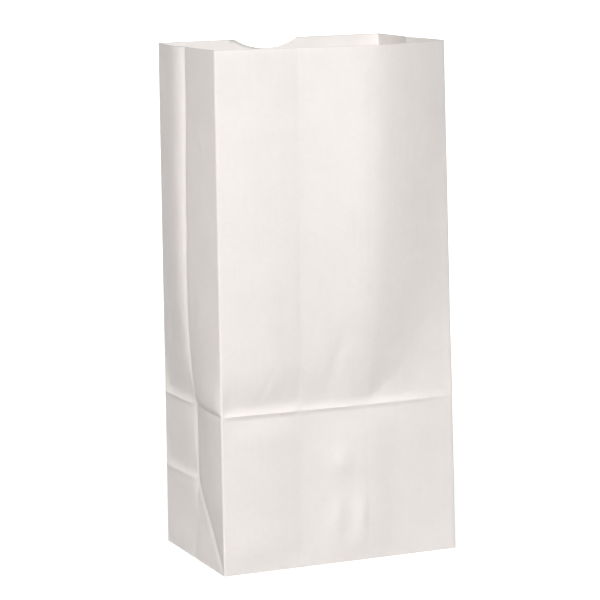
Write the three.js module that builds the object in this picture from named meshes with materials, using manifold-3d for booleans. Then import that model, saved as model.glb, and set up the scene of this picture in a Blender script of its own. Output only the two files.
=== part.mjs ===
// Paper lunch bag of the self-opening kind, standing open: one sheet, folded and glued.
// Millimetres, +Z up. The origin is the middle of the base's underside, and the front panel faces -Y.

import * as THREE from 'three';
import { mergeVertices } from 'three/addons/utils/BufferGeometryUtils.js';
import Module from 'manifold-3d';

// Sheet and overall size
const PAPER = 0.1;
const BASE_WIDTH = 135;
const BASE_DEPTH = 88;
const HEIGHT = 276;

// How much narrower and shallower the mouth stands than the base
const MOUTH_WIDTH_LOSS = 5;
const MOUTH_DEPTH_LOSS = 2;

// Creases that stay from the flat bag: one all round, and one lower down at the back of the gussets
const RING_HEIGHT = 85;
const RING_RIDGE = 1.6;
const RING_BROW = 0.5;
const LOWER_SHARE = 0.8;
const BROW_REACH = 2.2;
const RIDGE_REACH = 4;
const RIDGE_POWER = 2;
const CREASE_SETTLE = 26;
const CREASE_FADE = 5;

// How far the gussets' centre folds stand in from the straight side, and where the left one comes out
const LOW_TUCK = 3.1;
const RING_TUCK = 2.6;
const LEFT_MIDDLE_TUCK = -1.9;
const LEFT_MIDDLE_HEIGHT = 160;
const LEFT_OUT_POWER = 3;
const LEFT_MOUTH_TUCK = -0.7;
const RIGHT_MOUTH_TUCK = 2.5;

// How far the halves of the gussets bulge out between their folds
const RING_HALF_BULGE = 5.5;
const FRONT_HALF_BULGE = 2.5;
const BACK_HALF_BULGE = 1.8;
const BACK_HALF_POWER = 8;
const LEFT_BULGE = 3;
const LEFT_BULGE_POWER = 6;
const LEFT_BULGE_RISE = 100;

// Front panel: it bows out above the ring crease and bends softly at a pressed line
const FRONT_BOW = 15;
const RING_BOW = 2.2;
const FRONT_BEND = 82.5;
const FRONT_BOW_RISE = 170;
const FRONT_BOW_POWER = 2;
const FRONT_CORNER_RISE = 45;
const FRONT_SOFTNESS = 12;
const FRONT_CURVE = 0.4;
const FRONT_ROUND = 0.22;

// Back panel: the glued lap that closes the tube, and the thumb notch in its rim
const LAP_FROM_EDGE = 29;
const LAP_WIDTH = 12;
const LAP_CLIMB = 1.5;
const LAP_EDGE = 0.2;
const NOTCH_CHORD = 38.5;
const NOTCH_DEPTH = 5.4;
const NOTCH_FROM_EDGE = 70.2;
const NOTCH_ZONE = 16;

// Base: two glued flaps over the tucked ends, counted in sheets of paper from the underside up
const FLAP_OVERLAP = 18;
const FLAP_SETBACK = 0.6;
const OUTER_FLAP_SHEET = 0;
const INNER_FLAP_SHEET = 1;
const TUCKED_END_SHEET = 2;
const FLOOR_SHEET = 4;
const FLAP_BITE = 0.5;

// Mesh fineness: steps between neighbouring fold lines, and the band over which the front bends
const GUSSET_STEPS = 3;
const FRONT_STEPS = 3;
const BEND_BAND = 14;
const BEND_STEPS = 4;
const CURVE_STEPS = 3;
const BACK_STEPS = 2;
const NOTCH_STEPS = 12;
const RIDGE_ROWS = 2;
const SETTLE_ROWS = 2;
const BOW_ROWS = 8;
const RIM_ROWS = 3;

// Look of the plain paper
const PAPER_COLOUR = 0xeeece8;
const PAPER_ROUGHNESS = 0.85;

const HALF_GUSSET = BASE_DEPTH / 2;
const RIM_ZONE_HEIGHT = HEIGHT - NOTCH_ZONE;

const mix = THREE.MathUtils.lerp;
const smooth = THREE.MathUtils.smoothstep;
const clamp = THREE.MathUtils.clamp;

// From 0 to 1, steepest at the start
const easeOut = (share, power) => 1 - (1 - clamp(share, 0, 1)) ** power;

// The value above zero, its corner rounded over a width
const softPositive = (value, width) => (value + Math.hypot(value, width)) / 2;

// A mountain crease: a low brow under its line, and a drop above it that settles slowly
function crease(height, line) {
  const above = height - line;
  const brow = RING_BROW * clamp(1 + above / BROW_REACH, 0, 1);
  const drop = RING_RIDGE * easeOut(above / RIDGE_REACH, RIDGE_POWER);
  return (brow - drop) * (1 - smooth(above, RIDGE_REACH, CREASE_SETTLE));
}

// 1 across a panel, falling to 0 at the folds that bound it
const awayFromFolds = (distance, width) => clamp(Math.min(distance, width - distance) / CREASE_FADE, 0, 1);

// Points from one line to the next, with the last one left out
function stretch(start, end, count) {
  return Array.from({ length: count }, (_, step) => mix(start, end, step / count));
}

// Lines across half a gusset, which are also the low rows, so that the 45 degree folds meet the grid
function halfGussetLines() {
  return [
    0,
    ...stretch(CREASE_FADE, HALF_GUSSET - BROW_REACH, GUSSET_STEPS),
    HALF_GUSSET - BROW_REACH,
  ];
}

// Inward place of a gusset's centre fold at a height above the 45 degree folds
function foldTuck(height, side) {
  if (height < RING_HEIGHT) {
    return mix(LOW_TUCK, RING_TUCK, (height - HALF_GUSSET) / (RING_HEIGHT - HALF_GUSSET));
  }
  if (side === 'right') {
    return mix(RING_TUCK, RIGHT_MOUTH_TUCK, (height - RING_HEIGHT) / (HEIGHT - RING_HEIGHT));
  }
  if (height < LEFT_MIDDLE_HEIGHT) {
    const rise = (height - RING_HEIGHT) / (LEFT_MIDDLE_HEIGHT - RING_HEIGHT);
    return mix(RING_TUCK, LEFT_MIDDLE_TUCK, easeOut(rise, LEFT_OUT_POWER));
  }
  return mix(LEFT_MIDDLE_TUCK, LEFT_MOUTH_TUCK, smooth(height, LEFT_MIDDLE_HEIGHT, HEIGHT));
}

// Outward shift of a gusset: facets that meet in the centre fold, the 45 degree folds and the creases
function gussetShift(distance, height, side) {
  const fromEdge = Math.min(distance, BASE_DEPTH - distance);
  const share = fromEdge / HALF_GUSSET;
  const inBackHalf = (side === 'right') === (distance > HALF_GUSSET);
  const up = height / HALF_GUSSET;
  const lowTuck = LOW_TUCK * (inBackHalf ? up * share : Math.min(up, share));
  const tuck = height < HALF_GUSSET ? lowTuck : foldTuck(height, side) * share;
  const across = awayFromFolds(fromEdge, HALF_GUSSET);
  const ring = crease(height, RING_HEIGHT) * across;
  const rise = smooth(height, HALF_GUSSET / 2, HALF_GUSSET);
  if (!inBackHalf) {
    const bulge = mix(RING_HALF_BULGE, FRONT_HALF_BULGE, smooth(height, RING_HEIGHT, LEFT_MIDDLE_HEIGHT));
    return bulge * (share - share ** 2) * rise - ring - tuck;
  }
  const lower = LOWER_SHARE * crease(height, HALF_GUSSET) * across;
  const back = BACK_HALF_BULGE * (share - share ** BACK_HALF_POWER) * rise + ring + lower - tuck;
  const openRise = smooth(height, RING_HEIGHT, RING_HEIGHT + LEFT_BULGE_RISE);
  const open = LEFT_BULGE * (share - share ** LEFT_BULGE_POWER) * openRise;
  return side === 'left' ? back + open : back;
}

// Outward shift of the front panel: a straight left part, then a soft bend and a curve back to the right edge
function frontShift(distance, height) {
  const turn = (distance - FRONT_BEND) / (BASE_WIDTH - FRONT_BEND);
  const beyond = Math.max(0, turn);
  const left = distance / FRONT_BEND;
  const right = 1 - (1 - FRONT_CURVE) * turn - FRONT_CURVE * beyond * beyond;
  const bow = left - softPositive(left - right, FRONT_ROUND);
  const start = FRONT_CORNER_RISE * beyond;
  const above = softPositive(height - RING_HEIGHT - start, FRONT_SOFTNESS * beyond);
  const rise = easeOut(above / (FRONT_BOW_RISE - start), FRONT_BOW_POWER);
  const low = RING_BOW * clamp(height / RING_HEIGHT, 0, 1);
  const ring = crease(height, RING_HEIGHT) * awayFromFolds(distance, BASE_WIDTH);
  return bow * mix(low, FRONT_BOW, rise) + ring;
}

// Outward shift of the back panel: flat, with both creases folded inwards
function backShift(distance, height) {
  const creases = crease(height, RING_HEIGHT) + LOWER_SHARE * crease(height, HALF_GUSSET);
  return -creases * awayFromFolds(distance, BASE_WIDTH);
}

// Extra sheet on the outside of the back panel: it climbs over the inner edge and ends at its own cut edge
function lapSheet(distance) {
  const far = LAP_FROM_EDGE + LAP_WIDTH;
  if (distance > far) {
    return PAPER * (1 - smooth(distance, far, far + LAP_EDGE));
  }
  return PAPER * smooth(distance, LAP_FROM_EDGE - LAP_CLIMB, LAP_FROM_EDGE);
}

// Depth of the thumb notch, a shallow round arc, at a place along the back rim
function notchDrop(distance) {
  const half = NOTCH_CHORD / 2;
  const radius = (half * half + NOTCH_DEPTH * NOTCH_DEPTH) / (2 * NOTCH_DEPTH);
  const along = Math.min(half, Math.abs(distance - NOTCH_FROM_EDGE));
  return Math.sqrt(radius * radius - along * along) - (radius - NOTCH_DEPTH);
}

// The four panels in order around the bag, anticlockwise from above, each from one corner to the next
function makePanels() {
  const half = halfGussetLines();
  const gussetLines = [...half, HALF_GUSSET, ...half.slice(1).reverse().map((line) => BASE_DEPTH - line)];
  const bendStart = FRONT_BEND - BEND_BAND / 2;
  const bendEnd = FRONT_BEND + BEND_BAND / 2;
  const frontLines = [
    0,
    ...stretch(CREASE_FADE, bendStart, FRONT_STEPS),
    ...stretch(bendStart, bendEnd, BEND_STEPS),
    ...stretch(bendEnd, BASE_WIDTH - CREASE_FADE, CURVE_STEPS),
    BASE_WIDTH - CREASE_FADE,
  ];
  const notchStart = NOTCH_FROM_EDGE - NOTCH_CHORD / 2;
  const notchEnd = NOTCH_FROM_EDGE + NOTCH_CHORD / 2;
  const backLines = [
    0,
    ...stretch(CREASE_FADE, LAP_FROM_EDGE - LAP_CLIMB, BACK_STEPS),
    LAP_FROM_EDGE - LAP_CLIMB,
    LAP_FROM_EDGE,
    LAP_FROM_EDGE + LAP_WIDTH,
    LAP_FROM_EDGE + LAP_WIDTH + LAP_EDGE,
    ...stretch(notchStart, notchEnd, NOTCH_STEPS),
    ...stretch(notchEnd, BASE_WIDTH - CREASE_FADE, BACK_STEPS),
    BASE_WIDTH - CREASE_FADE,
  ].sort((a, b) => a - b);
  const noLap = () => 0;
  const noNotch = () => 0;
  const rightShift = (distance, height) => gussetShift(distance, height, 'right');
  const leftShift = (distance, height) => gussetShift(distance, height, 'left');
  return [
    { from: [-1, -1], to: [1, -1], width: BASE_WIDTH, lines: frontLines, turn: BASE_WIDTH,
      shift: frontShift, lap: noLap, notch: noNotch },
    { from: [1, -1], to: [1, 1], width: BASE_DEPTH, lines: gussetLines, turn: HALF_GUSSET,
      shift: rightShift, lap: noLap, notch: noNotch },
    { from: [1, 1], to: [-1, 1], width: BASE_WIDTH, lines: backLines, turn: BASE_WIDTH,
      shift: backShift, lap: lapSheet, notch: notchDrop },
    { from: [-1, 1], to: [-1, -1], width: BASE_DEPTH, lines: gussetLines, turn: HALF_GUSSET,
      shift: leftShift, lap: noLap, notch: noNotch },
  ];
}

// Heights of the rows of points, from the base to the rim
function rowHeights() {
  return [
    ...halfGussetLines(),
    ...stretch(HALF_GUSSET, HALF_GUSSET + RIDGE_REACH, RIDGE_ROWS),
    ...stretch(HALF_GUSSET + RIDGE_REACH, RING_HEIGHT - BROW_REACH, SETTLE_ROWS),
    RING_HEIGHT - BROW_REACH,
    ...stretch(RING_HEIGHT, RING_HEIGHT + RIDGE_REACH, RIDGE_ROWS),
    ...stretch(RING_HEIGHT + RIDGE_REACH, RING_HEIGHT + CREASE_SETTLE, SETTLE_ROWS),
    ...stretch(RING_HEIGHT + CREASE_SETTLE, RIM_ZONE_HEIGHT, BOW_ROWS),
    ...stretch(RIM_ZONE_HEIGHT, HEIGHT, RIM_ROWS),
    HEIGHT,
  ];
}

// Corner of the bag at a height: the walls lean in slightly from base to mouth
function cornerAt([signX, signY], height) {
  const share = height / HEIGHT;
  const x = signX * (BASE_WIDTH - MOUTH_WIDTH_LOSS * share) / 2;
  const y = signY * (BASE_DEPTH - MOUTH_DEPTH_LOSS * share) / 2;
  return new THREE.Vector2(x, y);
}

// One closed loop of points around the bag, without the lap
function loopAt(height, panels) {
  const loop = [];
  for (const panel of panels) {
    const start = cornerAt(panel.from, height);
    const along = cornerAt(panel.to, height).sub(start);
    const outward = new THREE.Vector2(along.y, -along.x).normalize();
    for (const line of panel.lines) {
      const flat = start.clone().addScaledVector(along, line / panel.width);
      const point = flat.addScaledVector(outward, panel.shift(line, height));
      const inRim = Math.max(0, height - RIM_ZONE_HEIGHT) / NOTCH_ZONE;
      const z = height - panel.notch(line) * inRim;
      const steep = line < panel.turn;
      loop.push({ x: point.x, y: point.y, z, outward, lap: panel.lap(line), steep });
    }
  }
  return loop;
}

// The same loop moved in by one sheet, square to the paper on both sides of each point
function insideOf(loop) {
  const normals = loop.map((point, index) => {
    const next = loop[(index + 1) % loop.length];
    return new THREE.Vector2(point.y - next.y, next.x - point.x).normalize();
  });
  return loop.map((point, index) => {
    const before = normals[(index + loop.length - 1) % loop.length];
    const after = normals[index];
    const reach = PAPER / (1 + before.dot(after));
    const move = before.clone().add(after).multiplyScalar(reach);
    return [point.x + move.x, point.y + move.y, point.z];
  });
}

// Walls and floor as one closed shell of paper
function bagGeometry() {
  const panels = makePanels();
  const loops = rowHeights().map((height) => loopAt(height, panels));
  const across = loops[0].length;
  const top = loops.length - 1;
  const positions = [];
  for (const loop of loops) {
    for (const { x, y, z, outward, lap } of loop) {
      positions.push(x + outward.x * lap, y + outward.y * lap, Math.max(z, TUCKED_END_SHEET * PAPER));
    }
  }
  for (const loop of loops) {
    for (const [x, y, z] of insideOf(loop)) {
      positions.push(x, y, Math.max(z, FLOOR_SHEET * PAPER));
    }
  }
  const underside = positions.length / 3;
  positions.push(0, 0, TUCKED_END_SHEET * PAPER);
  const floor = underside + 1;
  positions.push(0, 0, FLOOR_SHEET * PAPER);

  const outer = (row, column) => row * across + column % across;
  const inner = (row, column) => (loops.length + row) * across + column % across;
  const faces = [];
  const quad = (a, b, c, d, steep) => {
    faces.push(...(steep ? [a, b, c, a, c, d] : [a, b, d, b, c, d]));
  };
  for (let column = 0; column < across; column += 1) {
    const { steep } = loops[0][column];
    for (let row = 0; row < top; row += 1) {
      quad(outer(row, column), outer(row, column + 1),
        outer(row + 1, column + 1), outer(row + 1, column), steep);
      quad(inner(row, column + 1), inner(row, column),
        inner(row + 1, column), inner(row + 1, column + 1), !steep);
    }
    quad(outer(top, column), outer(top, column + 1), inner(top, column + 1), inner(top, column), true);
    faces.push(underside, outer(0, column + 1), outer(0, column));
    faces.push(floor, inner(0, column), inner(0, column + 1));
  }
  const geometry = new THREE.BufferGeometry();
  geometry.setAttribute('position', new THREE.Float32BufferAttribute(positions, 3));
  geometry.setIndex(faces);
  return geometry;
}

// A glued base flap: its long edge on the front or back fold, its ends cut by the 45 degree folds
function flapGeometry(side, sheet) {
  const reach = HALF_GUSSET + FLAP_OVERLAP / 2;
  const longHalf = BASE_WIDTH / 2 - FLAP_SETBACK;
  const freeHalf = BASE_WIDTH / 2 - reach;
  const foldY = side * (HALF_GUSSET - FLAP_SETBACK);
  const freeY = -side * FLAP_OVERLAP / 2;
  const outline = new THREE.Shape();
  outline.moveTo(-longHalf, foldY);
  outline.lineTo(longHalf, foldY);
  outline.lineTo(freeHalf, freeY);
  outline.lineTo(-freeHalf, freeY);
  outline.closePath();
  const depth = (TUCKED_END_SHEET - sheet + FLAP_BITE) * PAPER;
  const geometry = new THREE.ExtrudeGeometry(outline, { depth, bevelEnabled: false });
  geometry.translate(0, 0, sheet * PAPER);
  geometry.deleteAttribute('normal');
  geometry.deleteAttribute('uv');
  return mergeVertices(geometry);
}

const wasm = await Module();
wasm.setup();

// A closed three.js geometry as a solid that can be joined
function toSolid(geometry) {
  const vertProperties = new Float32Array(geometry.attributes.position.array);
  const triVerts = new Uint32Array(geometry.index.array);
  return new wasm.Manifold(new wasm.Mesh({ numProp: 3, vertProperties, triVerts }));
}

// A joined solid back as three.js geometry
function toGeometry(solid) {
  const { vertProperties, triVerts } = solid.getMesh();
  const geometry = new THREE.BufferGeometry();
  geometry.setAttribute('position', new THREE.BufferAttribute(vertProperties, 3));
  geometry.setIndex(new THREE.BufferAttribute(triVerts, 1));
  geometry.computeVertexNormals();
  return geometry;
}

// The whole bag: shell, inner flap hinged at the back, outer flap hinged at the front
function paperBag() {
  const shell = toSolid(bagGeometry());
  const innerFlap = toSolid(flapGeometry(1, INNER_FLAP_SHEET));
  const outerFlap = toSolid(flapGeometry(-1, OUTER_FLAP_SHEET));
  const paper = new THREE.MeshStandardMaterial({ color: PAPER_COLOUR, roughness: PAPER_ROUGHNESS });
  paper.side = THREE.DoubleSide;
  const mesh = new THREE.Mesh(toGeometry(shell.add(innerFlap).add(outerFlap)), paper);
  mesh.name = 'paper_bag';
  return mesh;
}

const bag = new THREE.Group();
bag.add(paperBag());

export default bag;
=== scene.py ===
"""A white paper lunch bag, standing open on a pale floor in soft studio light."""
import math
from collections import namedtuple

import bpy
import numpy as np
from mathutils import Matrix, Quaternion, Vector


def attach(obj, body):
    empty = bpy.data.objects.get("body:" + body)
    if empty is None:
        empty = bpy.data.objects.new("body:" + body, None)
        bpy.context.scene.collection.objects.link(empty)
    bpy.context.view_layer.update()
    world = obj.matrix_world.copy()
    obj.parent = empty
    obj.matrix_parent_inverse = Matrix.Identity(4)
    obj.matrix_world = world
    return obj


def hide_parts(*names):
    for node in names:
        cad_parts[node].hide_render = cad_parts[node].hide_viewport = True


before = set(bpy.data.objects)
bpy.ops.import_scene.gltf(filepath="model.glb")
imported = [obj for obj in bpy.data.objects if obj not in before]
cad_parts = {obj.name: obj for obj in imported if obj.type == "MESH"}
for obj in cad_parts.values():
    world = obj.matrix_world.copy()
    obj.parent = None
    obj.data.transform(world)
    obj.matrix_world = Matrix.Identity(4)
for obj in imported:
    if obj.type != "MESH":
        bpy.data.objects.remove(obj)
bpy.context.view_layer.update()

# Sizes are in millimetres, and MM turns them into metres
MM = 0.001
NODE = "paper_bag"
BODY = "root"

# Creases that stay from the flat bag, and how far their sides reach
PAPER = 0.1
RING_HEIGHT = 85
RING_RIDGE = 1.6
RING_BROW = 0.5
LOWER_SHARE = 0.8
BROW_REACH = 2.2
RIDGE_REACH = 4
RIDGE_POWER = 2
CREASE_SETTLE = 26
CREASE_FADE = 5
LIP_HEIGHT = 0.1
LIP_REACH = 0.8

# Gussets: how far the centre folds stand in from the straight side
LOW_TUCK = 3.1
RING_TUCK = 2.6
LEFT_MIDDLE_TUCK = -1.9
LEFT_MIDDLE_HEIGHT = 160
LEFT_OUT_POWER = 3
LEFT_MOUTH_TUCK = -0.7
RIGHT_MOUTH_TUCK = 2.5

# Gussets: bulge of their halves
RING_HALF_BULGE = 5.5
FRONT_HALF_BULGE = 2.5
BACK_HALF_BULGE = 1.8
BACK_HALF_POWER = 8
LEFT_BULGE = 3
LEFT_BULGE_POWER = 6
LEFT_BULGE_RISE = 100

# Gussets: grooves pressed along the centre and 45 degree folds, and the centre fold's trace at the base
FOLD_GROOVE = 0.36
DIAGONAL_GROOVE = 0.7
GROOVE_REACH = 3.5
BACK_GROOVE_REACH = 1.8
BASE_TRACE = 0.3
TRACE_REACH = (2.5, 11)

# Front panel: bow above the ring crease, bent at a pressed line
FRONT_BOW = 15
RING_BOW = 2.2
FRONT_BEND = 82.5
FRONT_BOW_RISE = 170
FRONT_BOW_POWER = 2
FRONT_CORNER_RISE = 45
FRONT_SOFTNESS = 12
FRONT_CURVE = 0.4
FRONT_ROUND = 0.22

# Front panel: soft swells beside the line over the gusset's fold, and a turn towards the right fold
LEFT_SWELL = 1.4
RIGHT_SWELL = 1.2
SWELL_LINE = 46
SWELL_CREST = 78
SWELL_FAR = 105
SWELL_RISE = 15
SWELL_HIGH_RISE = 75
RIGHT_TURN = 1.3
TURN_START = 66
TURN_CREST = 91

# Front panel: fine pressed lines, and where the ring crease is weak, uneven or doubled
PRESSED_DEPTH = 0.1
PRESSED_WIDTH = 0.9
PRESSED_FAINT = 0.5
RING_GAP = 0.7
RING_GAP_REACH = (1.6, 4)
RING_FADE = 0.7
RING_FADE_START = 98
RING_FADE_END = 128
RING_WOBBLE = 0.25
WOBBLE_CELL = 7
SECOND_LINE = 2.6
SECOND_DEPTH = 0.06
SECOND_FADE_START = 40
SECOND_FADE_END = 60

# Front panel: soft bumps and dents, each with its height, centre, reach across and up, and lean
SLANT_FOLD = (-0.6, (64.5, 111), (3.5, 13), 0.27)
RING_PAD = (0.6, (72, 92), (6, 9), 0)
RING_TICK = (-0.25, (87, 93), (1.2, 5), 0)
LOW_ARCH = (1.3, (68, 55), (7, 8), 0)
LEFT_BUMP = (1.1, (65, 26), (4, 9), 0)
RIGHT_BUMP = (0.9, (79, 25), (3.5, 9), 0)
HIGH_BUMP = (0.4, (70, 180), (4, 5), 0)
RIM_BUMP = (0.35, (79, 249), (3, 3), 0)
FRONT_MARKS = (SLANT_FOLD, RING_PAD, RING_TICK, LOW_ARCH, LEFT_BUMP, RIGHT_BUMP, HIGH_BUMP, RIM_BUMP)

# Back panel: glued lap and thumb notch
LAP_FROM_EDGE = 29
LAP_WIDTH = 12
LAP_CLIMB = 1.5
LAP_EDGE = 0.2
NOTCH_CHORD = 38.5
NOTCH_DEPTH = 5.4
NOTCH_FROM_EDGE = 70.2
NOTCH_ZONE = 16

# Base: flaps in sheets of paper from the underside up
FLAP_OVERLAP = 18
FLAP_SETBACK = 0.6
OUTER_FLAP_SHEET = 0
INNER_FLAP_SHEET = 1
TUCKED_END_SHEET = 2
FLOOR_SHEET = 4
FLAP_BITE = 0.5

# Fineness of the sheet's grid, narrow bands at creases, folds, base and rim, and the angle of a sharp edge
GUSSET_STEP = 1.5
PANEL_STEP = 2.0
ROW_STEP = 2.0
CREASE_ROUND = 0.6
FOLD_EASE = 0.2
BASE_BAND = 1.1
RIM_BAND = 0.5
# Share of the painted shade along the rim on the front panel
FRONT_RIM_SHADE_SHARE = 0.4
SHARP_ANGLE = 50

# Slow waves and ripples of the paper, and the seed of each pattern
WAVE_CELL = 26
WAVE_DEPTH = 0.12
RIPPLE_CELL = 11
RIPPLE_DEPTH = 0.03
STILL_MARGIN = 10
WAVE_GRID = 64
LEFT_SEED = 11
RIGHT_SEED = 21
FRONT_SEED = 31
RING_SEED = 35
BACK_SEED = 41

# Faint marks of handling, scattered by chance
MARKS_PER_AREA = 0.0007
MARK_MARGIN = 12
MARK_DEPTH = 0.28
MARK_WIDTHS = (1.8, 3.5)
MARK_LENGTHS = (4, 11)
MARK_LEAN = 0.8

# Paper: tones, gloss, the light that passes through, and the painted shade along the rim
# Name of the mark that carries the painted shade along the rim
RIM_SHADE = "painted_rim_shade"
PAPER_DARK = (0.82, 0.768, 0.735)
PAPER_LIGHT = (0.865, 0.816, 0.783)
# Grey of the painted shade along the rim
RIM_SHADE_GREY = (0.45, 0.44, 0.425)
TONE_RANGE = (0.3, 0.7)
ROUGHNESS_RANGE = (0.68, 0.9)
GLOSS = 0.3
LIGHT_THROUGH = 0.4
LIGHT_REACH = 1

# Paper: scale and detail of its clouds, fibres, streaks and tooth, and their shares
CLOUDS = (60, 2)
FIBRES = (380, 3)
FIBRE_SHARE = 0.45
STREAKS = (650, 2)
STREAK_STRETCH = (1, 1, 0.02)
STREAK_SHARE = 0.22
TOOTH = (1900, 3)
TOOTH_STREAK_SHARE = 0.4
TOOTH_STRENGTH = 0.3
TOOTH_DEPTH = 0.04

# Floor and room, in metres: the floor's glow grows to full white away from the bag's shadow
FLOOR_SIZE = 40
FLOOR_TONE = 0.41
FLOOR_ROUGHNESS = 0.9
FLOOR_GLOW = 0.68
SHADOW_NEAR = 0.15
SHADOW_FAR = 0.8
WORLD_LEVEL = 0.05
WHITE = (1, 1, 1, 1)

# Lamps: azimuth and elevation in degrees, size and distance in metres, power in watts, and tint
LAMP_DISTANCE = 8
KEY_TINT = (0.96, 1, 1.02)
SIDE_TINT = (1, 0.97, 0.955)
LAMPS = {
    "key": (-18, 55, (4.2, 4.2), 386, KEY_TINT),
    "side": (-35, 26, (4.2, 4.2), 535, SIDE_TINT),
    "back": (160, 0, (5.0, 0.25), 340, KEY_TINT),
    "top": (0, 89, (1.0, 1.0), 120, KEY_TINT),
}

# Camera: where it stands and looks, its roll in degrees, and its lens
CAMERA_PLACE = (-535.17, -1298.80, 355.21)
CAMERA_AIM = (-2.74, 0.82, 136.18)
CAMERA_ROLL = -1.232
CAMERA_LENS = 157.2
SENSOR = 36


def smooth(value, low, high):
    """From 0 at low to 1 at high, level at both ends."""
    share = np.clip((value - low) / (high - low), 0, 1)
    return share * share * (3 - 2 * share)


def ease_out(share, power):
    """From 0 to 1, steepest at the start."""
    return 1 - (1 - np.clip(share, 0, 1)) ** power


def mix(low, high, share):
    return low + (high - low) * share


def soft_positive(value, width):
    """The value above zero, its corner rounded over a width."""
    return (value + np.sqrt(value * value + width * width)) / 2


def crease(height, line):
    """A mountain crease: a low brow under its line, a fine lip, and a drop above that settles slowly."""
    above = height - line
    lip = LIP_HEIGHT * np.exp(-(above / LIP_REACH) ** 2)
    brow = RING_BROW * np.clip(1 + above / BROW_REACH, 0, 1)
    drop = RING_RIDGE * ease_out(above / RIDGE_REACH, RIDGE_POWER)
    return (brow + lip - drop) * (1 - smooth(above, RIDGE_REACH, CREASE_SETTLE))


def away_from_folds(distance, width):
    """1 across a panel, falling to 0 at the folds that bound it."""
    return np.clip(np.minimum(distance, width - distance) / CREASE_FADE, 0, 1)


def corner_of(level_points, sign_x, sign_y):
    """The point of one level that reaches furthest into a corner."""
    return level_points[np.argmax(level_points[:, 0] * sign_x + level_points[:, 1] * sign_y)]


def frame_sizes():
    """Height, base and mouth of the bag, read from the frame's solid, in millimetres."""
    points = np.array([v.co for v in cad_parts[NODE].data.vertices]) / MM
    height = points[:, 2].max()
    low = points[points[:, 2] < BASE_BAND]
    high = points[points[:, 2] > height - PAPER]
    base = corner_of(low, 1, -1) - corner_of(low, -1, 1)
    mouth = corner_of(high, 1, -1) - corner_of(high, -1, 1)
    return height, base[0], -base[1], mouth[0], -mouth[1]


HEIGHT, BASE_WIDTH, BASE_DEPTH, MOUTH_WIDTH, MOUTH_DEPTH = frame_sizes()
HALF_GUSSET = BASE_DEPTH / 2
RIM_ZONE_HEIGHT = HEIGHT - NOTCH_ZONE


def waves(across, up, cell, seed):
    """Smooth noise between -1 and 1 with cells of one size."""
    grid = np.random.default_rng(seed).uniform(-1, 1, (WAVE_GRID, WAVE_GRID))
    column = np.floor(across / cell).astype(int)
    row = np.floor(up / cell).astype(int)
    right = smooth(across / cell - column, 0, 1)
    above = smooth(up / cell - row, 0, 1)
    low = mix(grid[column, row], grid[column + 1, row], right)
    high = mix(grid[column, row + 1], grid[column + 1, row + 1], right)
    return mix(low, high, above)


def dent(distance, height, centre, reach, lean=0):
    """A soft oval of height 1 round a centre, its long axis leaning to the right."""
    up = height - centre[1]
    across = distance - centre[0] - lean * up
    return np.exp(-(across / reach[0]) ** 2 - (up / reach[1]) ** 2)


def scattered_marks(distance, height, width, seed):
    """Faint dents and bumps where the paper was handled, at places and slants drawn by chance."""
    chance = np.random.default_rng(seed)
    margin = np.array((MARK_MARGIN, MARK_MARGIN))
    total = 0
    for _ in range(round(width * HEIGHT * MARKS_PER_AREA)):
        centre = chance.uniform(margin, (width, HEIGHT) - margin)
        reach = chance.uniform(*MARK_WIDTHS), chance.uniform(*MARK_LENGTHS)
        lean = chance.uniform(-MARK_LEAN, MARK_LEAN)
        total = total + MARK_DEPTH * chance.uniform(-1, 1) * dent(distance, height, centre, reach, lean)
    return total


def paper_waves(distance, height, width, seed):
    """Slow waves, ripples and marks of a panel, still at its folds and at the base."""
    reach = np.minimum(np.minimum(distance, width - distance), height)
    free = smooth(reach, 0, STILL_MARGIN)
    slow = WAVE_DEPTH * waves(distance, height, WAVE_CELL, seed)
    fine = RIPPLE_DEPTH * waves(distance, height, RIPPLE_CELL, seed + 1)
    return free * (slow + fine + scattered_marks(distance, height, width, seed + 2))


def fold_tuck(height, side):
    """Inward place of a gusset's centre fold above the 45 degree folds."""
    low = mix(LOW_TUCK, RING_TUCK, (height - HALF_GUSSET) / (RING_HEIGHT - HALF_GUSSET))
    if side == "right":
        high = mix(RING_TUCK, RIGHT_MOUTH_TUCK, (height - RING_HEIGHT) / (HEIGHT - RING_HEIGHT))
    else:
        rise = (height - RING_HEIGHT) / (LEFT_MIDDLE_HEIGHT - RING_HEIGHT)
        middle = mix(RING_TUCK, LEFT_MIDDLE_TUCK, ease_out(rise, LEFT_OUT_POWER))
        mouth = mix(LEFT_MIDDLE_TUCK, LEFT_MOUTH_TUCK, smooth(height, LEFT_MIDDLE_HEIGHT, HEIGHT))
        high = np.where(height < LEFT_MIDDLE_HEIGHT, middle, mouth)
    return np.where(height < RING_HEIGHT, low, high)


def fold_groove(from_edge, height, back_half):
    """The pressed grooves of the centre fold and of the 45 degree fold below it."""
    diagonal = np.abs(from_edge - height) / math.sqrt(2)
    from_fold = np.where(height < HALF_GUSSET, diagonal, HALF_GUSSET - from_edge)
    upper = smooth(height, HALF_GUSSET - GROOVE_REACH, HALF_GUSSET)
    ends = np.clip(np.minimum(from_edge, height) / CREASE_FADE, 0, 1)
    ends = np.where(back_half, upper, ends)
    depth = mix(DIAGONAL_GROOVE, FOLD_GROOVE, upper)
    reach = np.where(back_half, BACK_GROOVE_REACH, GROOVE_REACH)
    return depth * np.clip(1 - from_fold / reach, 0, 1) * ends


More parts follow.
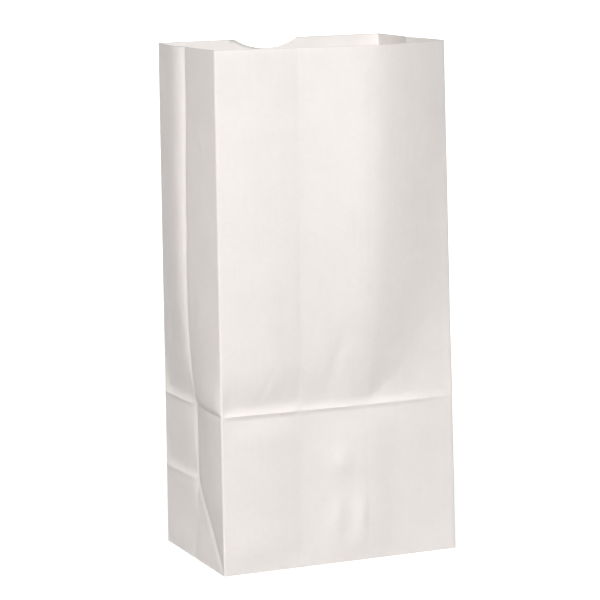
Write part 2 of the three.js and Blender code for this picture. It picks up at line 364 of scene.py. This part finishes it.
def gusset_shift(distance, height, side):
    """Outward shift of a gusset: facets between the centre fold, the 45 degree folds and the creases."""
    from_edge = np.minimum(distance, BASE_DEPTH - distance)
    back_half = (distance > HALF_GUSSET) if side == "right" else (distance < HALF_GUSSET)
    share = from_edge / HALF_GUSSET
    up = height / HALF_GUSSET
    low = LOW_TUCK * np.where(back_half, up * share, np.minimum(up, share))
    tuck = np.where(height < HALF_GUSSET, low, fold_tuck(height, side) * share)
    across = away_from_folds(from_edge, HALF_GUSSET)
    ring = crease(height, RING_HEIGHT) * across
    lower = LOWER_SHARE * crease(height, HALF_GUSSET) * across
    rise = smooth(height, HALF_GUSSET / 2, HALF_GUSSET)
    bulge = mix(RING_HALF_BULGE, FRONT_HALF_BULGE, smooth(height, RING_HEIGHT, LEFT_MIDDLE_HEIGHT))
    front = bulge * (share - share ** 2) * rise - ring
    back = BACK_HALF_BULGE * (share - share ** BACK_HALF_POWER) * rise + ring + lower
    if side == "left":
        open_rise = smooth(height, RING_HEIGHT, RING_HEIGHT + LEFT_BULGE_RISE)
        back = back + LEFT_BULGE * (share - share ** LEFT_BULGE_POWER) * open_rise
    return np.where(back_half, back, front) - tuck - fold_groove(from_edge, height, back_half)


def left_shift(distance, height):
    """The left gusset, with the trace of its centre fold at the base."""
    trace = BASE_TRACE * dent(distance, height, (HALF_GUSSET, 0), TRACE_REACH)
    soft = paper_waves(distance, height, BASE_DEPTH, LEFT_SEED)
    return gusset_shift(distance, height, "left") + soft - trace


def right_shift(distance, height):
    return gusset_shift(distance, height, "right") + paper_waves(distance, height, BASE_DEPTH, RIGHT_SEED)


def front_bow(distance, height):
    """Bow of the front panel: straight to the pressed line, then curved back to the right edge."""
    turn = (distance - FRONT_BEND) / (BASE_WIDTH - FRONT_BEND)
    beyond = np.maximum(0, turn)
    left = distance / FRONT_BEND
    right = 1 - (1 - FRONT_CURVE) * turn - FRONT_CURVE * beyond * beyond
    bow = left - soft_positive(left - right, FRONT_ROUND)
    start = FRONT_CORNER_RISE * beyond
    above = soft_positive(height - RING_HEIGHT - start, FRONT_SOFTNESS * beyond)
    rise = ease_out(above / (FRONT_BOW_RISE - start), FRONT_BOW_POWER)
    low = RING_BOW * np.clip(height / RING_HEIGHT, 0, 1)
    return bow * mix(low, FRONT_BOW, rise)


def right_turn(distance):
    """A soft crest that falls away to the right fold."""
    share = np.clip((distance - TURN_CREST) / (BASE_WIDTH - TURN_CREST), 0, 1)
    return smooth(distance, TURN_START, TURN_CREST) * np.cos(math.pi / 2 * share)


def front_swell(distance, height):
    """The front panel swells out beside the line over the gusset's fold, and turns away at its right."""
    left = np.sin(math.pi * np.clip(distance / SWELL_LINE, 0, 1))
    far = mix(SWELL_FAR, BASE_WIDTH, smooth(height, RING_HEIGHT, LEFT_MIDDLE_HEIGHT))
    right = smooth(distance, SWELL_LINE, SWELL_CREST) * (1 - smooth(distance, SWELL_CREST, far))
    free = smooth(np.abs(height - RING_HEIGHT), 0, SWELL_RISE) * smooth(height, 0, SWELL_RISE)
    slow = np.where(height > RING_HEIGHT, smooth(height - RING_HEIGHT, 0, SWELL_HIGH_RISE), free)
    low = np.sin(math.pi * np.clip(height / RING_HEIGHT, 0, 1))
    steady = np.where(height > RING_HEIGHT, slow, low)
    turn = RIGHT_TURN * right_turn(distance) * steady
    return LEFT_SWELL * left * free + RIGHT_SWELL * right * slow + turn


def pressed_line(distance, line):
    """A fine groove of depth 1 along a line."""
    return np.exp(-((distance - line) / PRESSED_WIDTH) ** 2)


def front_details(distance, height):
    """Small bumps and dents of the front panel and its two pressed lines."""
    marks = 0
    for rise, centre, reach, lean in FRONT_MARKS:
        marks = marks + rise * dent(distance, height, centre, reach, lean)
    faint = mix(PRESSED_FAINT, 1, smooth(height, RING_HEIGHT, LEFT_MIDDLE_HEIGHT))
    lines = pressed_line(distance, HALF_GUSSET) * faint + pressed_line(distance, FRONT_BEND)
    return marks - PRESSED_DEPTH * lines


def front_ring(distance, height):
    """The front panel's ring crease: weak over the gusset's fold and at the right, doubled at the left."""
    gap = 1 - RING_GAP * dent(distance, height, (HALF_GUSSET, RING_HEIGHT), RING_GAP_REACH)
    fade = 1 - RING_FADE * smooth(distance, RING_FADE_START, RING_FADE_END)
    wobble = 1 + RING_WOBBLE * waves(distance, np.zeros_like(height), WOBBLE_CELL, RING_SEED)
    left = 1 - smooth(distance, SECOND_FADE_START, SECOND_FADE_END)
    second = SECOND_DEPTH * pressed_line(height, RING_HEIGHT - SECOND_LINE) * left
    ring = crease(height, RING_HEIGHT) * gap * fade * wobble - second
    return ring * away_from_folds(distance, BASE_WIDTH)


def front_shift(distance, height):
    """Outward shift of the front panel: its bow, the ring crease and its softer forms."""
    soft = front_swell(distance, height) + front_details(distance, height)
    paper = paper_waves(distance, height, BASE_WIDTH, FRONT_SEED)
    return front_bow(distance, height) + front_ring(distance, height) + soft + paper


def back_shift(distance, height):
    """Outward shift of the back panel: flat, with both creases folded inwards."""
    creases = crease(height, RING_HEIGHT) + LOWER_SHARE * crease(height, HALF_GUSSET)
    soft = paper_waves(distance, height, BASE_WIDTH, BACK_SEED)
    return soft - creases * away_from_folds(distance, BASE_WIDTH)


def lap_sheet(distance):
    """Extra sheet on the outside of the back panel, from its climb to its cut edge."""
    far = LAP_FROM_EDGE + LAP_WIDTH
    climb = smooth(distance, LAP_FROM_EDGE - LAP_CLIMB, LAP_FROM_EDGE)
    return PAPER * (climb - smooth(distance, far, far + LAP_EDGE))


def notch_drop(distance):
    """Depth of the thumb notch, a shallow round arc, along the back rim."""
    half = NOTCH_CHORD / 2
    radius = (half * half + NOTCH_DEPTH * NOTCH_DEPTH) / (2 * NOTCH_DEPTH)
    along = np.minimum(half, np.abs(distance - NOTCH_FROM_EDGE))
    return np.sqrt(radius * radius - along * along) - (radius - NOTCH_DEPTH)


def nothing(distance):
    """For a panel without a lap or a notch."""
    return np.zeros_like(distance)


def lines_between(breaks, step):
    """Grid lines through all the breaks, at most one step apart."""
    lines = []
    for start, end in zip(breaks[:-1], breaks[1:]):
        count = math.ceil((end - start) / step)
        lines.extend(np.linspace(start, end, count, endpoint=False))
    return np.array([*lines, breaks[-1]])


def around(line):
    """Breaks on a line and close to both sides of it."""
    return [line - CREASE_ROUND, line, line + CREASE_ROUND]


def half_gusset_lines():
    """Lines across half a gusset, also used as low rows, so that the 45 degree folds meet the grid."""
    breaks = [0, CREASE_ROUND, 2 * CREASE_ROUND, HALF_GUSSET - CREASE_ROUND, HALF_GUSSET]
    return lines_between(breaks, GUSSET_STEP)


def gusset_lines():
    half = half_gusset_lines()
    return np.array([*half, *(BASE_DEPTH - half[-2::-1])])


def panel_lines(inner):
    """Lines across the front or back panel through its inner breaks, and close to its folds."""
    near = [0, CREASE_ROUND, 2 * CREASE_ROUND]
    far = [BASE_WIDTH - line for line in reversed(near)]
    return lines_between([*near, *inner, *far], PANEL_STEP)


def front_lines():
    return panel_lines([*around(HALF_GUSSET), *around(FRONT_BEND)])


def back_lines():
    lap = LAP_FROM_EDGE + LAP_WIDTH
    notch = NOTCH_FROM_EDGE - NOTCH_CHORD / 2
    lap_breaks = [LAP_FROM_EDGE - LAP_CLIMB, LAP_FROM_EDGE, lap, lap + LAP_EDGE]
    return panel_lines([*lap_breaks, notch, notch + NOTCH_CHORD])


def row_heights():
    """Heights of the grid's rows from the base to the rim."""
    low = half_gusset_lines()
    second = around(RING_HEIGHT - SECOND_LINE)
    ring = [RING_HEIGHT - 2 * CREASE_ROUND, *around(RING_HEIGHT), RING_HEIGHT + 2 * CREASE_ROUND]
    rim = [RIM_ZONE_HEIGHT, HEIGHT - RIM_BAND, HEIGHT]
    breaks = [HALF_GUSSET, HALF_GUSSET + CREASE_ROUND, *second, *ring, *rim]
    return np.array([*low[:-1], *lines_between(breaks, ROW_STEP)])


# The panels in order around the bag, from corner to corner
Panel = namedtuple("Panel", "start end outward width lines shift lap notch")
PANELS = (
    Panel((-1, -1), (1, -1), (0, -1), BASE_WIDTH, front_lines(), front_shift, nothing, nothing),
    Panel((1, -1), (1, 1), (1, 0), BASE_DEPTH, gusset_lines(), right_shift, nothing, nothing),
    Panel((1, 1), (-1, 1), (0, 1), BASE_WIDTH, back_lines(), back_shift, lap_sheet, notch_drop),
    Panel((-1, 1), (-1, -1), (-1, 0), BASE_DEPTH, gusset_lines(), left_shift, nothing, nothing),
)


def panel_points(panel, rows):
    """Points of one panel on the outside without the lap, and the lap's extra shift, row by row."""
    distance = panel.lines[None, :-1]
    height = rows[:, None]
    width = mix(BASE_WIDTH, MOUTH_WIDTH, height / HEIGHT)
    depth = mix(BASE_DEPTH, MOUTH_DEPTH, height / HEIGHT)
    half_size = np.stack([width / 2, depth / 2], -1)
    corners = half_size * np.array(panel.start), half_size * np.array(panel.end)
    outward = np.array(panel.outward)
    flat = mix(*corners, (distance / panel.width)[..., None])
    plan = flat + panel.shift(distance, height)[..., None] * outward
    plan[:, 0] -= FOLD_EASE * np.array(panel.start)
    drop = panel.notch(distance) * np.clip((height - RIM_ZONE_HEIGHT) / NOTCH_ZONE, 0, 1)
    points = np.concatenate([plan, (height - drop)[..., None]], -1)
    extra = np.zeros_like(points)
    extra[..., :2] = panel.lap(distance)[..., None] * outward
    return points, extra


def inside_of(points):
    """The loops moved in by one sheet, square to the paper on both sides of each point."""
    step = np.roll(points, -1, axis=1)[..., :2] - points[..., :2]
    after = np.stack([-step[..., 1], step[..., 0]], -1)
    after /= np.linalg.norm(after, axis=-1, keepdims=True)
    before = np.roll(after, 1, axis=1)
    reach = PAPER / (1 + (before * after).sum(-1, keepdims=True))
    moved = points.copy()
    moved[..., :2] += (before + after) * reach
    return moved


def sheet_points():
    """Points of the walls, outside and inside, and of the base's two middles, and the grid's counts."""
    rows = row_heights()
    parts = [panel_points(panel, rows) for panel in PANELS]
    middle = np.concatenate([points for points, _ in parts], 1)
    outside = middle + np.concatenate([extra for _, extra in parts], 1)
    inside = inside_of(middle)
    outside[..., 2] = np.maximum(outside[..., 2], TUCKED_END_SHEET * PAPER)
    inside[..., 2] = np.maximum(inside[..., 2], FLOOR_SHEET * PAPER)
    centres = [(0, 0, TUCKED_END_SHEET * PAPER), (0, 0, FLOOR_SHEET * PAPER)]
    points = np.concatenate([outside.reshape(-1, 3), inside.reshape(-1, 3), centres])
    return points, middle.shape[:2]


def rising_columns():
    """Which columns are split along the rising diagonal, so that the 45 degree folds stay sharp."""
    rising = []
    for panel in PANELS:
        lines = panel.lines[:-1]
        gusset = panel.width == BASE_DEPTH
        rising.extend(lines < HALF_GUSSET if gusset else lines >= 0)
    return rising


def sheet_faces(count, across):
    """Faces of the walls on both sides, of the rim between them, and of the base."""
    layer = count * across
    top = layer - across
    faces = []
    for column, rising in enumerate(rising_columns()):
        beside = (column + 1) % across
        for row in range(0, top, across):
            a, b, c, d = row + column, row + beside, row + across + beside, row + across + column
            pair = ((a, b, c), (a, c, d)) if rising else ((a, b, d), (b, c, d))
            faces.extend(pair)
            faces.extend(tuple(layer + i for i in reversed(face)) for face in pair)
        faces.append((top + column, top + beside, layer + top + beside, layer + top + column))
        faces.append((2 * layer, beside, column))
        faces.append((2 * layer + 1, layer + column, layer + beside))
    return faces


def bag_mesh():
    """Walls and floor as one closed shell of paper."""
    points, counts = sheet_points()
    mesh = bpy.data.meshes.new("paper_bag_folded")
    mesh.from_pydata((points * MM).tolist(), [], sheet_faces(*counts))
    mesh.validate()
    return mesh


def flap_object(side, sheet):
    """A glued base flap as a thin plate, its ends on the 45 degree folds."""
    reach = HALF_GUSSET + FLAP_OVERLAP / 2
    long_half = BASE_WIDTH / 2 - FLAP_SETBACK
    free_half = BASE_WIDTH / 2 - reach
    fold = side * (HALF_GUSSET - FLAP_SETBACK)
    free = -side * FLAP_OVERLAP / 2
    outline = [(-long_half, fold), (long_half, fold), (free_half, free), (-free_half, free)]
    if side > 0:
        outline.reverse()
    levels = sheet * PAPER, (TUCKED_END_SHEET + FLAP_BITE) * PAPER
    points = [(x * MM, y * MM, z * MM) for z in levels for x, y in outline]
    count = len(outline)
    faces = [tuple(reversed(range(count))), tuple(range(count, 2 * count))]
    for i in range(count):
        beside = (i + 1) % count
        faces.append((i, beside, count + beside, count + i))
    mesh = bpy.data.meshes.new("flap")
    mesh.from_pydata(points, [], faces)
    flap = bpy.data.objects.new("flap", mesh)
    bpy.context.scene.collection.objects.link(flap)
    return flap


def join_flap(bag, flap):
    """Joins a flap to the bag as one closed surface."""
    union = bag.modifiers.new("flap", "BOOLEAN")
    union.operation = "UNION"
    union.solver = "MANIFOLD"
    union.object = flap
    bpy.context.view_layer.objects.active = bag
    bpy.ops.object.modifier_apply(modifier=union.name)
    bpy.data.objects.remove(flap)


def mark_painted_rim_shade(mesh):
    """Marks a band of painted shade along the paper's cut rim, lower in the thumb notch and weaker on the
    front.
    """
    points = np.array([v.co for v in mesh.vertices]) / MM
    from_right = MOUTH_WIDTH / 2 - points[:, 0]
    back = points[:, 1] > 0
    drop = np.where(back, notch_drop(from_right), 0)
    below = HEIGHT - drop - points[:, 2]
    share = np.clip(1 - below / RIM_BAND, 0, 1) * np.where(back, 1, FRONT_RIM_SHADE_SHARE)
    edge = mesh.attributes.new(RIM_SHADE, "FLOAT", "POINT")
    edge.data.foreach_set("value", share.astype(np.float32))


def make_bag():
    """The bag with its glued flaps, in the place of the frame's solid."""
    bag = bpy.data.objects.new("paper_bag_folded", bag_mesh())
    bpy.context.scene.collection.objects.link(bag)
    join_flap(bag, flap_object(1, INNER_FLAP_SHEET))
    join_flap(bag, flap_object(-1, OUTER_FLAP_SHEET))
    bag.data.shade_smooth()
    bag.data.set_sharp_from_angle(angle=math.radians(SHARP_ANGLE))
    mark_painted_rim_shade(bag.data)
    bag.data.materials.clear()
    bag.data.materials.append(paper_material())
    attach(bag, BODY)
    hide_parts(NODE)


def noise(tree, grain, stretch=(1, 1, 1)):
    """Noise of one scale and detail in the object's coordinates, which can be drawn out along an axis."""
    coords = tree.nodes.new("ShaderNodeTexCoord")
    place = tree.nodes.new("ShaderNodeMapping")
    place.inputs["Scale"].default_value = stretch
    texture = tree.nodes.new("ShaderNodeTexNoise")
    scale, detail = grain
    texture.inputs["Scale"].default_value = scale
    texture.inputs["Detail"].default_value = detail
    tree.links.new(coords.outputs["Object"], place.inputs["Vector"])
    tree.links.new(place.outputs[0], texture.inputs["Vector"])
    return texture.outputs["Fac"]


def weigh(tree, first, second, share):
    """A mix of two values, with the second one's share."""
    blend = tree.nodes.new("ShaderNodeMix")
    blend.inputs["Factor"].default_value = share
    tree.links.new(first, blend.inputs["A"])
    tree.links.new(second, blend.inputs["B"])
    return blend.outputs["Result"]


def tones(tree, value, *colours):
    """Two colours blended over the middle range of a value."""
    ramp = tree.nodes.new("ShaderNodeValToRGB")
    for element, position, colour in zip(ramp.color_ramp.elements, TONE_RANGE, colours):
        element.position = position
        element.color = (*colour, 1)
    tree.links.new(value, ramp.inputs["Fac"])
    return ramp.outputs["Color"]


def with_painted_rim_shade(tree, colour):
    """A colour that turns to a painted grey shade at the rim."""
    edge = tree.nodes.new("ShaderNodeAttribute")
    edge.attribute_name = RIM_SHADE
    # Blends towards the grey of the painted rim shade
    cut = tree.nodes.new("ShaderNodeMix")
    cut.data_type = "RGBA"
    cut.inputs["B"].default_value = (*RIM_SHADE_GREY, 1)
    tree.links.new(edge.outputs["Fac"], cut.inputs["Factor"])
    tree.links.new(colour, cut.inputs["A"])
    return cut.outputs["Result"]


def paper_tooth(tree, streaks):
    """The fine bumps of the paper's surface."""
    bump = tree.nodes.new("ShaderNodeBump")
    bump.inputs["Strength"].default_value = TOOTH_STRENGTH
    bump.inputs["Distance"].default_value = TOOTH_DEPTH * MM
    tooth = weigh(tree, noise(tree, TOOTH), streaks, TOOTH_STREAK_SHARE)
    tree.links.new(tooth, bump.inputs["Height"])
    return bump.outputs[0]


def paper_material():
    """White paper: cloudy fibres, streaks along the web, a fine tooth, and painted grey shade along the
    cut rim.
    """
    material = bpy.data.materials.new("white_paper")
    material.use_nodes = True
    tree = material.node_tree
    shader = tree.nodes["Principled BSDF"]
    streaks = noise(tree, STREAKS, STREAK_STRETCH)
    clouds = weigh(tree, noise(tree, CLOUDS), noise(tree, FIBRES), FIBRE_SHARE)
    fibres = weigh(tree, clouds, streaks, STREAK_SHARE)
    # The paper's tones, turning to a painted grey shade at the rim
    colour = with_painted_rim_shade(tree, tones(tree, fibres, PAPER_DARK, PAPER_LIGHT))
    tree.links.new(colour, shader.inputs["Base Color"])
    rough = tree.nodes.new("ShaderNodeMapRange")
    rough.inputs["To Min"].default_value = ROUGHNESS_RANGE[0]
    rough.inputs["To Max"].default_value = ROUGHNESS_RANGE[1]
    tree.links.new(fibres, rough.inputs["Value"])
    tree.links.new(rough.outputs[0], shader.inputs["Roughness"])
    shader.inputs["Specular IOR Level"].default_value = GLOSS
    shader.inputs["Subsurface Weight"].default_value = LIGHT_THROUGH
    shader.inputs["Subsurface Radius"].default_value = (1, 1, 1)
    shader.inputs["Subsurface Scale"].default_value = LIGHT_REACH * MM
    tree.links.new(paper_tooth(tree, streaks), shader.inputs["Normal"])
    return material


def camera_share(tree):
    """1 for rays from the camera, also through gloss or glass, and 0 for the light's own paths."""
    path = tree.nodes.new("ShaderNodeLightPath")
    total = path.outputs["Is Camera Ray"]
    for name in ("Is Glossy Ray", "Is Transmission Ray"):
        add = tree.nodes.new("ShaderNodeMath")
        add.use_clamp = True
        tree.links.new(total, add.inputs[0])
        tree.links.new(path.outputs[name], add.inputs[1])
        total = add.outputs[0]
    return total


def floor_glow(tree):
    """The floor's own light towards the camera, less of it near the bag, where the shadow lies."""
    coords = tree.nodes.new("ShaderNodeTexCoord")
    away = tree.nodes.new("ShaderNodeVectorMath")
    away.operation = "LENGTH"
    tree.links.new(coords.outputs["Object"], away.inputs[0])
    level = tree.nodes.new("ShaderNodeMapRange")
    level.inputs["From Min"].default_value = SHADOW_NEAR
    level.inputs["From Max"].default_value = SHADOW_FAR
    level.inputs["To Min"].default_value = FLOOR_GLOW
    tree.links.new(away.outputs["Value"], level.inputs["Value"])
    strength = tree.nodes.new("ShaderNodeMath")
    strength.operation = "MULTIPLY"
    tree.links.new(level.outputs[0], strength.inputs[0])
    tree.links.new(camera_share(tree), strength.inputs[1])
    return strength.outputs[0]


def make_floor():
    """A pale floor that reads as white to the camera and keeps the bag's shadow."""
    bpy.ops.mesh.primitive_plane_add(size=FLOOR_SIZE)
    floor = bpy.context.object
    floor.name = "floor"
    material = bpy.data.materials.new("pale_floor")
    material.use_nodes = True
    tree = material.node_tree
    shader = tree.nodes["Principled BSDF"]
    shader.inputs["Base Color"].default_value = (FLOOR_TONE, FLOOR_TONE, FLOOR_TONE, 1)
    shader.inputs["Roughness"].default_value = FLOOR_ROUGHNESS
    shader.inputs["Emission Color"].default_value = WHITE
    tree.links.new(floor_glow(tree), shader.inputs["Emission Strength"])
    floor.data.materials.append(material)


def make_world():
    """A faint even light all round, white to the camera."""
    world = bpy.data.worlds.new("studio")
    bpy.context.scene.world = world
    world.use_nodes = True
    tree = world.node_tree
    background = tree.nodes["Background"]
    background.inputs["Color"].default_value = WHITE
    level = tree.nodes.new("ShaderNodeMapRange")
    level.inputs["To Min"].default_value = WORLD_LEVEL
    tree.links.new(camera_share(tree), level.inputs["Value"])
    tree.links.new(level.outputs[0], background.inputs["Strength"])


def make_lamp(name, azimuth, elevation, size, power, tint):
    """A soft lamp aimed at the middle of the bag. Azimuth 0 is in front of it, and 90 to its right."""
    lamp = bpy.data.lights.new(name, "AREA")
    lamp.shape = "RECTANGLE"
    lamp.size, lamp.size_y = size
    lamp.energy = power
    lamp.color = tint
    holder = bpy.data.objects.new(name, lamp)
    bpy.context.scene.collection.objects.link(holder)
    turn, lift = math.radians(azimuth), math.radians(elevation)
    away = Vector((math.sin(turn) * math.cos(lift), -math.cos(turn) * math.cos(lift), math.sin(lift)))
    holder.location = Vector((0, 0, HEIGHT * MM / 2)) + away * LAMP_DISTANCE
    holder.rotation_mode = "QUATERNION"
    holder.rotation_quaternion = (-away).to_track_quat("-Z", "Y")


def make_camera():
    """The camera at its place, aimed and rolled."""
    data = bpy.data.cameras.new("camera")
    data.sensor_width = SENSOR
    data.lens = CAMERA_LENS
    camera = bpy.data.objects.new("camera", data)
    bpy.context.scene.collection.objects.link(camera)
    place, aim = Vector(CAMERA_PLACE) * MM, Vector(CAMERA_AIM) * MM
    camera.location = place
    camera.rotation_mode = "QUATERNION"
    look = (aim - place).to_track_quat("-Z", "Y")
    camera.rotation_quaternion = look @ Quaternion((0, 0, 1), math.radians(CAMERA_ROLL))
    bpy.context.scene.camera = camera


bpy.context.scene.view_settings.view_transform = "Standard"
make_camera()
make_world()
make_floor()
for lamp_name, lamp_values in LAMPS.items():
    make_lamp(lamp_name, *lamp_values)
make_bag()
